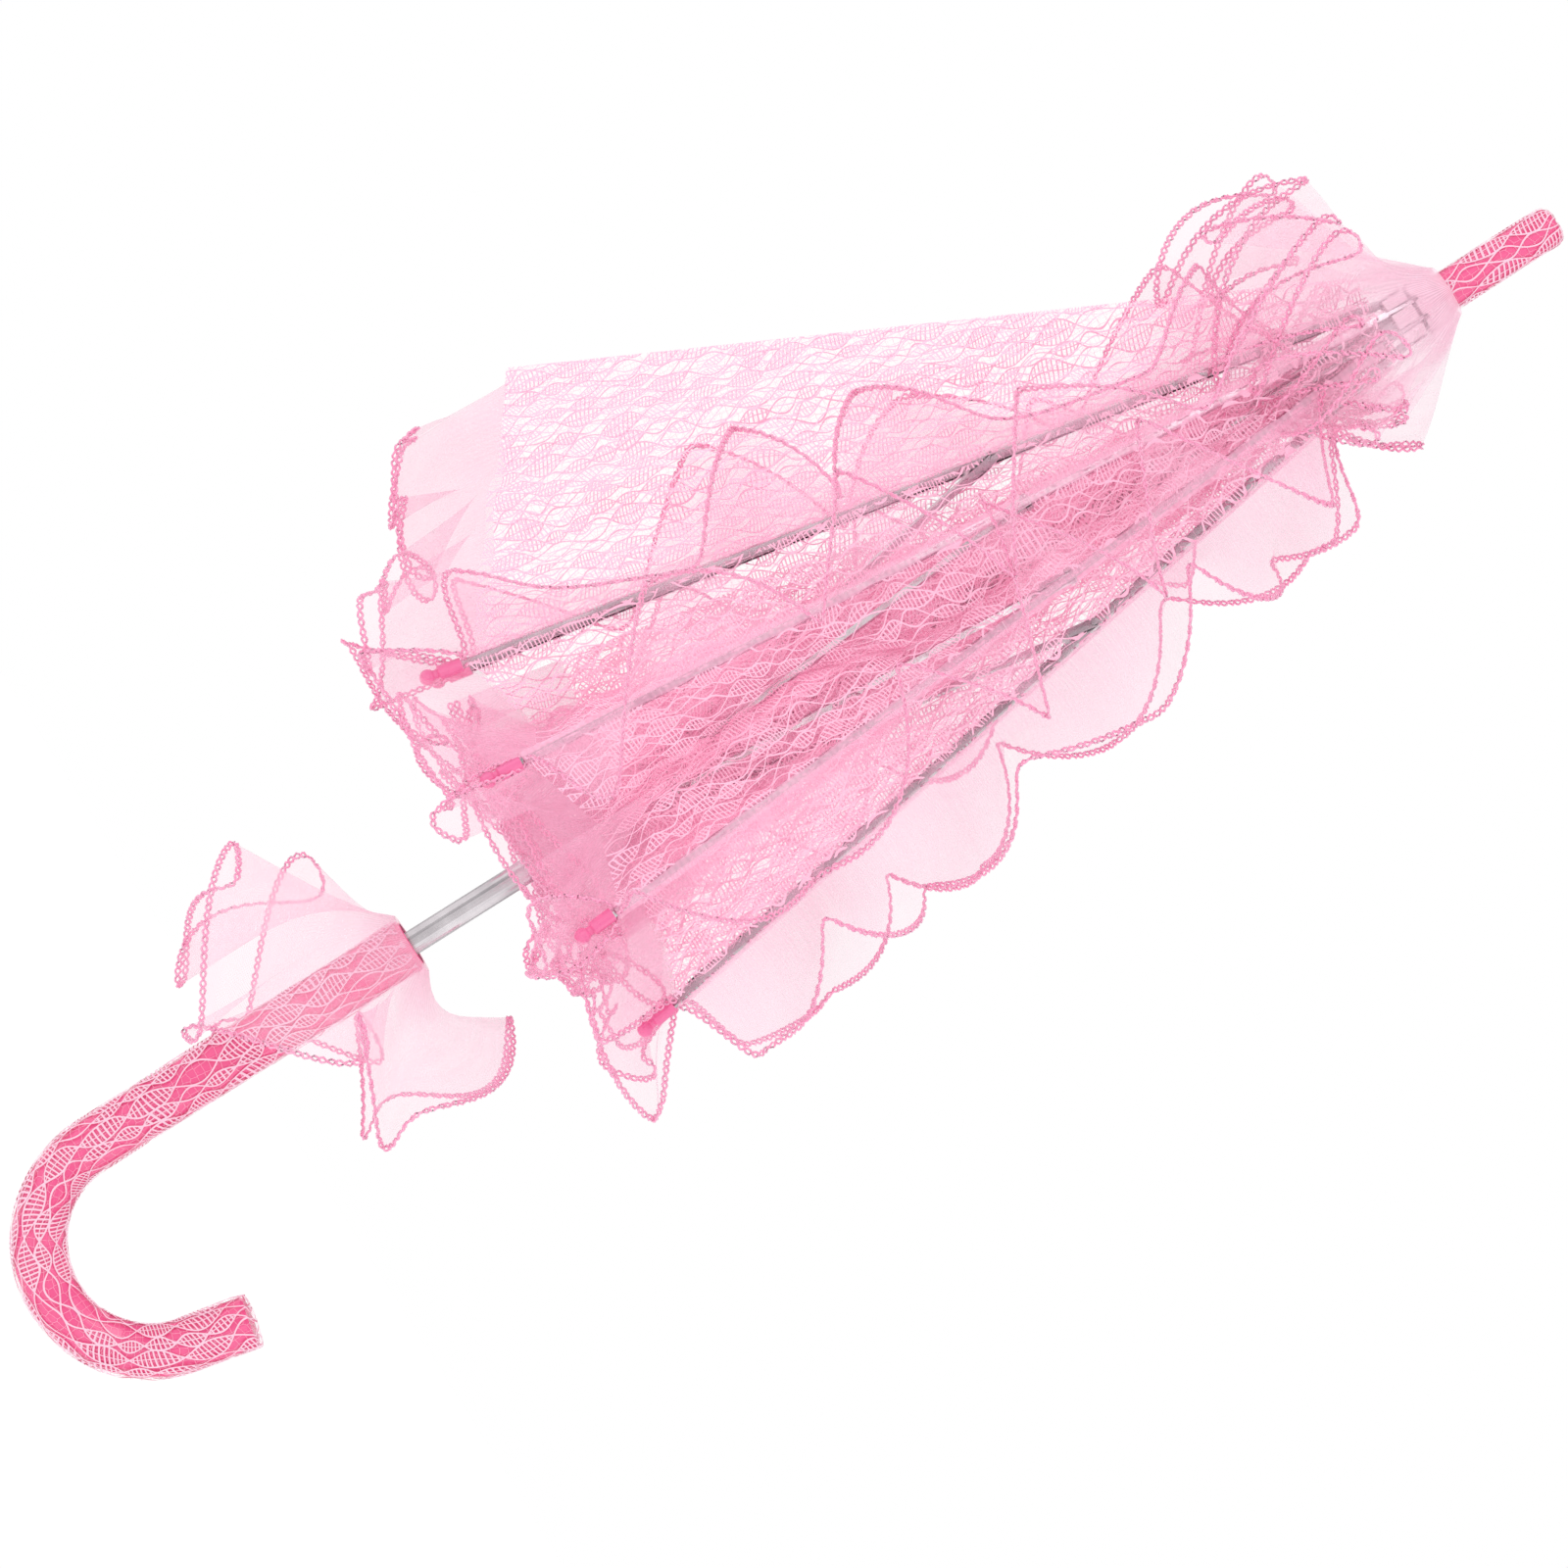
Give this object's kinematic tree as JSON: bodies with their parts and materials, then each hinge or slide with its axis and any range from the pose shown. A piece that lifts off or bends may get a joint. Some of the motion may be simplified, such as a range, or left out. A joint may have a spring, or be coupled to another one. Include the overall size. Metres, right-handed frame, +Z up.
{
  "type": "lace parasol",
  "caption": "Folded lace parasol with a hook handle, a sliding runner, hinged ribs and stretchers, and ruffled gores that open into a canopy.",
  "frame": {"origin": "on the handle's centreline, at the middle of its straight grip, where a hand holds it", "axes": "+Z up the shaft to the tip, +X the way that the hook curves, +Y across the hook"},
  "size_m": [0.2147, 0.1718, 0.5871],
  "materials": {
    "pink_plastic": "glossy moulded plastic",
    "steel": "bright plated steel",
    "nylon": "satin moulded nylon",
    "lace": "net lace with corded leaves",
    "organza": "sheer organza with overlocked edges",
    "ball_plastic": "glossy moulded plastic"
  },
  "bodies": {
    "frame": {"shaft": "steel", "handle": "pink_plastic", "handle_lace": "lace", "handle_ruffle": "organza", "tip_cap": "pink_plastic", "tip_lace": "lace", "top_notch": "nylon", "notch_wire": "steel", "crown_ruffle": "organza"},
    "runner": {"runner": "nylon", "runner_wire": "steel"},
    "top_catch": {"top_catch": "steel"},
    "rib_arm_1": {"rib_1": "steel", "rib_tip_1": "ball_plastic", "rib_ruffle_1": "organza"},
    "stretcher_arm_1": {"stretcher_1": "steel"},
    "rib_arm_2": {"rib_2": "steel", "rib_tip_2": "ball_plastic", "rib_ruffle_2": "organza"},
    "stretcher_arm_2": {"stretcher_2": "steel"},
    "rib_arm_3": {"rib_3": "steel", "rib_tip_3": "ball_plastic", "rib_ruffle_3": "organza"},
    "stretcher_arm_3": {"stretcher_3": "steel"},
    "rib_arm_4": {"rib_4": "steel", "rib_tip_4": "ball_plastic", "rib_ruffle_4": "organza"},
    "stretcher_arm_4": {"stretcher_4": "steel"},
    "rib_arm_5": {"rib_5": "steel", "rib_tip_5": "ball_plastic", "rib_ruffle_5": "organza"},
    "stretcher_arm_5": {"stretcher_5": "steel"},
    "rib_arm_6": {"rib_6": "steel", "rib_tip_6": "ball_plastic", "rib_ruffle_6": "organza"},
    "stretcher_arm_6": {"stretcher_6": "steel"},
    "rib_arm_7": {"rib_7": "steel", "rib_tip_7": "ball_plastic", "rib_ruffle_7": "organza"},
    "stretcher_arm_7": {"stretcher_7": "steel"},
    "rib_arm_8": {"rib_8": "steel", "rib_tip_8": "ball_plastic", "rib_ruffle_8": "organza"},
    "stretcher_arm_8": {"stretcher_8": "steel"},
    "leaf_1_left": {"gore_1_left": "lace"},
    "leaf_1_right": {"gore_1_right": "lace"},
    "leaf_2_left": {"gore_2_left": "lace"},
    "leaf_2_right": {"gore_2_right": "lace"},
    "leaf_3_left": {"gore_3_left": "lace"},
    "leaf_3_right": {"gore_3_right": "lace"},
    "leaf_4_left": {"gore_4_left": "lace"},
    "leaf_4_right": {"gore_4_right": "lace"},
    "leaf_5_left": {"gore_5_left": "lace"},
    "leaf_5_right": {"gore_5_right": "lace"},
    "leaf_6_left": {"gore_6_left": "lace"},
    "leaf_6_right": {"gore_6_right": "lace"},
    "leaf_7_left": {"gore_7_left": "lace"},
    "leaf_7_right": {"gore_7_right": "lace"},
    "leaf_8_left": {"gore_8_left": "lace"},
    "leaf_8_right": {"gore_8_right": "lace"}
  },
  "joints": [
    {"name": "runner_slide", "type": "slide", "parent": "frame", "child": "runner", "axis": [0, 0, 1], "range_m": [0, 0.1432], "deforming": ["crown_ruffle"]},
    {"name": "catch_press", "type": "hinge", "parent": "frame", "child": "top_catch", "pos_m": [0, 0, 0.248], "axis": [0, -1, 0], "range_deg": [0, 5], "stiffness_Nm_per_rad": 0.02, "springref_deg": -11.46},
    {"name": "rib_1_hinge", "type": "hinge", "parent": "frame", "child": "rib_arm_1", "pos_m": [0.00601, 0.00249, 0.432], "axis": [0.3827, -0.9239, 0], "range_deg": [0, 53.51]},
    {"name": "stretcher_1_pivot", "type": "hinge", "parent": "rib_arm_1", "child": "stretcher_arm_1", "pos_m": [0.02958, 0.01225, 0.29434], "axis": [-0.3827, 0.9239, 0], "range_deg": [0, 102.75]},
    {"name": "rib_2_hinge", "type": "hinge", "parent": "frame", "child": "rib_arm_2", "pos_m": [0.00249, 0.00601, 0.432], "axis": [0.9239, -0.3827, 0], "range_deg": [0, 53]},
    {"name": "stretcher_2_pivot", "type": "hinge", "parent": "rib_arm_2", "child": "stretcher_arm_2", "pos_m": [0.01271, 0.03069, 0.29457], "axis": [-0.9239, 0.3827, 0], "range_deg": [0, 101.77]},
    {"name": "rib_3_hinge", "type": "hinge", "parent": "frame", "child": "rib_arm_3", "pos_m": [-0.00249, 0.00601, 0.432], "axis": [0.9239, 0.3827, 0], "range_deg": [0, 52.01]},
    {"name": "stretcher_3_pivot", "type": "hinge", "parent": "rib_arm_3", "child": "stretcher_arm_3", "pos_m": [-0.01363, 0.0329, 0.29506], "axis": [-0.9239, -0.3827, 0], "range_deg": [0, 99.81]},
    {"name": "rib_4_hinge", "type": "hinge", "parent": "frame", "child": "rib_arm_4", "pos_m": [-0.00601, 0.00249, 0.432], "axis": [0.3827, 0.9239, 0], "range_deg": [0, 52.5]},
    {"name": "stretcher_4_pivot", "type": "hinge", "parent": "rib_arm_4", "child": "stretcher_arm_4", "pos_m": [-0.03179, 0.01317, 0.29481], "axis": [-0.3827, -0.9239, 0], "range_deg": [0, 100.79]},
    {"name": "rib_5_hinge", "type": "hinge", "parent": "frame", "child": "rib_arm_5", "pos_m": [-0.00601, -0.00249, 0.432], "axis": [-0.3827, 0.9239, 0], "range_deg": [0, 52.5]},
    {"name": "stretcher_5_pivot", "type": "hinge", "parent": "rib_arm_5", "child": "stretcher_arm_5", "pos_m": [-0.03179, -0.01317, 0.29481], "axis": [0.3827, -0.9239, 0], "range_deg": [0, 100.79]},
    {"name": "rib_6_hinge", "type": "hinge", "parent": "frame", "child": "rib_arm_6", "pos_m": [-0.00249, -0.00601, 0.432], "axis": [-0.9239, 0.3827, 0], "range_deg": [0, 52.01]},
    {"name": "stretcher_6_pivot", "type": "hinge", "parent": "rib_arm_6", "child": "stretcher_arm_6", "pos_m": [-0.01363, -0.0329, 0.29506], "axis": [0.9239, -0.3827, 0], "range_deg": [0, 99.81]},
    {"name": "rib_7_hinge", "type": "hinge", "parent": "frame", "child": "rib_arm_7", "pos_m": [0.00249, -0.00601, 0.432], "axis": [-0.9239, -0.3827, 0], "range_deg": [0, 53]},
    {"name": "stretcher_7_pivot", "type": "hinge", "parent": "rib_arm_7", "child": "stretcher_arm_7", "pos_m": [0.01271, -0.03069, 0.29457], "axis": [0.9239, 0.3827, 0], "range_deg": [0, 101.77]},
    {"name": "rib_8_hinge", "type": "hinge", "parent": "frame", "child": "rib_arm_8", "pos_m": [0.00601, -0.00249, 0.432], "axis": [-0.3827, -0.9239, 0], "range_deg": [0, 53.51]},
    {"name": "stretcher_8_pivot", "type": "hinge", "parent": "rib_arm_8", "child": "stretcher_arm_8", "pos_m": [0.02958, -0.01225, 0.29434], "axis": [0.3827, 0.9239, 0], "range_deg": [0, 102.75]},
    {"name": "gore_1_left_fold", "type": "hinge", "parent": "rib_arm_1", "child": "leaf_1_left", "pos_m": [0.02284, 0.00946, 0.33367], "axis": [0.1684, 0.0697, -0.9833], "range_deg": [0, 89.01]},
    {"name": "gore_1_right_fold", "type": "hinge", "parent": "rib_arm_2", "child": "leaf_1_right", "pos_m": [0.00979, 0.02363, 0.33384], "axis": [-0.073, -0.1763, 0.9816], "range_deg": [0, 89.01]},
    {"name": "gore_2_left_fold", "type": "hinge", "parent": "rib_arm_2", "child": "leaf_2_left", "pos_m": [0.00979, 0.02363, 0.33384], "axis": [0.073, 0.1763, -0.9816], "range_deg": [0, 89.01]},
    {"name": "gore_2_right_fold", "type": "hinge", "parent": "rib_arm_3", "child": "leaf_2_right", "pos_m": [-0.01044, 0.02521, 0.33419], "axis": [0.0796, -0.1921, 0.9781], "range_deg": [0, 89.01]},
    {"name": "gore_3_left_fold", "type": "hinge", "parent": "rib_arm_3", "child": "leaf_3_left", "pos_m": [-0.01044, 0.02521, 0.33419], "axis": [-0.0796, 0.1921, -0.9781], "range_deg": [0, 89.01]},
    {"name": "gore_3_right_fold", "type": "hinge", "parent": "rib_arm_4", "child": "leaf_3_right", "pos_m": [-0.02442, 0.01012, 0.33401], "axis": [0.1842, -0.0763, 0.9799], "range_deg": [0, 89.01]},
    {"name": "gore_4_left_fold", "type": "hinge", "parent": "rib_arm_4", "child": "leaf_4_left", "pos_m": [-0.02442, 0.01012, 0.33401], "axis": [0.1842, -0.0763, 0.9799], "range_deg": [0, 90]},
    {"name": "gore_4_right_fold", "type": "hinge", "parent": "rib_arm_5", "child": "leaf_4_right", "pos_m": [-0.02442, -0.01012, 0.33401], "axis": [-0.1842, -0.0763, -0.9799], "range_deg": [0, 22.01]},
    {"name": "gore_5_left_fold", "type": "hinge", "parent": "rib_arm_5", "child": "leaf_5_left", "pos_m": [-0.02442, -0.01012, 0.33401], "axis": [-0.1842, -0.0763, -0.9799], "range_deg": [0, 89.01]},
    {"name": "gore_5_right_fold", "type": "hinge", "parent": "rib_arm_6", "child": "leaf_5_right", "pos_m": [-0.01044, -0.02521, 0.33419], "axis": [0.0796, 0.1921, 0.9781], "range_deg": [0, 89.01]},
    {"name": "gore_6_left_fold", "type": "hinge", "parent": "rib_arm_6", "child": "leaf_6_left", "pos_m": [-0.01044, -0.02521, 0.33419], "axis": [-0.0796, -0.1921, -0.9781], "range_deg": [0, 89.01]},
    {"name": "gore_6_right_fold", "type": "hinge", "parent": "rib_arm_7", "child": "leaf_6_right", "pos_m": [0.00979, -0.02363, 0.33384], "axis": [-0.073, 0.1763, 0.9816], "range_deg": [0, 89.01]},
    {"name": "gore_7_left_fold", "type": "hinge", "parent": "rib_arm_7", "child": "leaf_7_left", "pos_m": [0.00979, -0.02363, 0.33384], "axis": [0.073, -0.1763, -0.9816], "range_deg": [0, 89.01]},
    {"name": "gore_7_right_fold", "type": "hinge", "parent": "rib_arm_8", "child": "leaf_7_right", "pos_m": [0.02284, -0.00946, 0.33367], "axis": [-0.1684, 0.0697, 0.9833], "range_deg": [0, 89.01]},
    {"name": "gore_8_left_fold", "type": "hinge", "parent": "rib_arm_8", "child": "leaf_8_left", "pos_m": [0.02284, -0.00946, 0.33367], "axis": [0.1684, -0.0697, -0.9833], "range_deg": [0, 89.01]},
    {"name": "gore_8_right_fold", "type": "hinge", "parent": "rib_arm_1", "child": "leaf_8_right", "pos_m": [0.02284, 0.00946, 0.33367], "axis": [-0.1684, -0.0697, 0.9833], "range_deg": [0, 89.01]}
  ],
  "couplings": [
    {"joint": "rib_1_hinge", "follows": "runner_slide", "rad_per_m": 6.5206},
    {"joint": "stretcher_1_pivot", "follows": "runner_slide", "rad_per_m": 12.523},
    {"joint": "rib_2_hinge", "follows": "runner_slide", "rad_per_m": 6.4597},
    {"joint": "stretcher_2_pivot", "follows": "runner_slide", "rad_per_m": 12.403},
    {"joint": "rib_3_hinge", "follows": "runner_slide", "rad_per_m": 6.3378},
    {"joint": "stretcher_3_pivot", "follows": "runner_slide", "rad_per_m": 12.164},
    {"joint": "rib_4_hinge", "follows": "runner_slide", "rad_per_m": 6.3987},
    {"joint": "stretcher_4_pivot", "follows": "runner_slide", "rad_per_m": 12.284},
    {"joint": "rib_5_hinge", "follows": "runner_slide", "rad_per_m": 6.3987},
    {"joint": "stretcher_5_pivot", "follows": "runner_slide", "rad_per_m": 12.284},
    {"joint": "rib_6_hinge", "follows": "runner_slide", "rad_per_m": 6.3378},
    {"joint": "stretcher_6_pivot", "follows": "runner_slide", "rad_per_m": 12.164},
    {"joint": "rib_7_hinge", "follows": "runner_slide", "rad_per_m": 6.4597},
    {"joint": "stretcher_7_pivot", "follows": "runner_slide", "rad_per_m": 12.403},
    {"joint": "rib_8_hinge", "follows": "runner_slide", "rad_per_m": 6.5206},
    {"joint": "stretcher_8_pivot", "follows": "runner_slide", "rad_per_m": 12.523},
    {"joint": "gore_1_left_fold", "follows": "runner_slide", "rad_per_m": 10.847},
    {"joint": "gore_1_right_fold", "follows": "runner_slide", "rad_per_m": 10.847},
    {"joint": "gore_2_left_fold", "follows": "runner_slide", "rad_per_m": 10.847},
    {"joint": "gore_2_right_fold", "follows": "runner_slide", "rad_per_m": 10.847},
    {"joint": "gore_3_left_fold", "follows": "runner_slide", "rad_per_m": 10.847},
    {"joint": "gore_3_right_fold", "follows": "runner_slide", "rad_per_m": 10.847},
    {"joint": "gore_4_left_fold", "follows": "runner_slide", "rad_per_m": 10.969},
    {"joint": "gore_4_right_fold", "follows": "runner_slide", "rad_per_m": 2.6814},
    {"joint": "gore_5_left_fold", "follows": "runner_slide", "rad_per_m": 10.847},
    {"joint": "gore_5_right_fold", "follows": "runner_slide", "rad_per_m": 10.847},
    {"joint": "gore_6_left_fold", "follows": "runner_slide", "rad_per_m": 10.847},
    {"joint": "gore_6_right_fold", "follows": "runner_slide", "rad_per_m": 10.847},
    {"joint": "gore_7_left_fold", "follows": "runner_slide", "rad_per_m": 10.847},
    {"joint": "gore_7_right_fold", "follows": "runner_slide", "rad_per_m": 10.847},
    {"joint": "gore_8_left_fold", "follows": "runner_slide", "rad_per_m": 10.847},
    {"joint": "gore_8_right_fold", "follows": "runner_slide", "rad_per_m": 10.847}
  ]
}
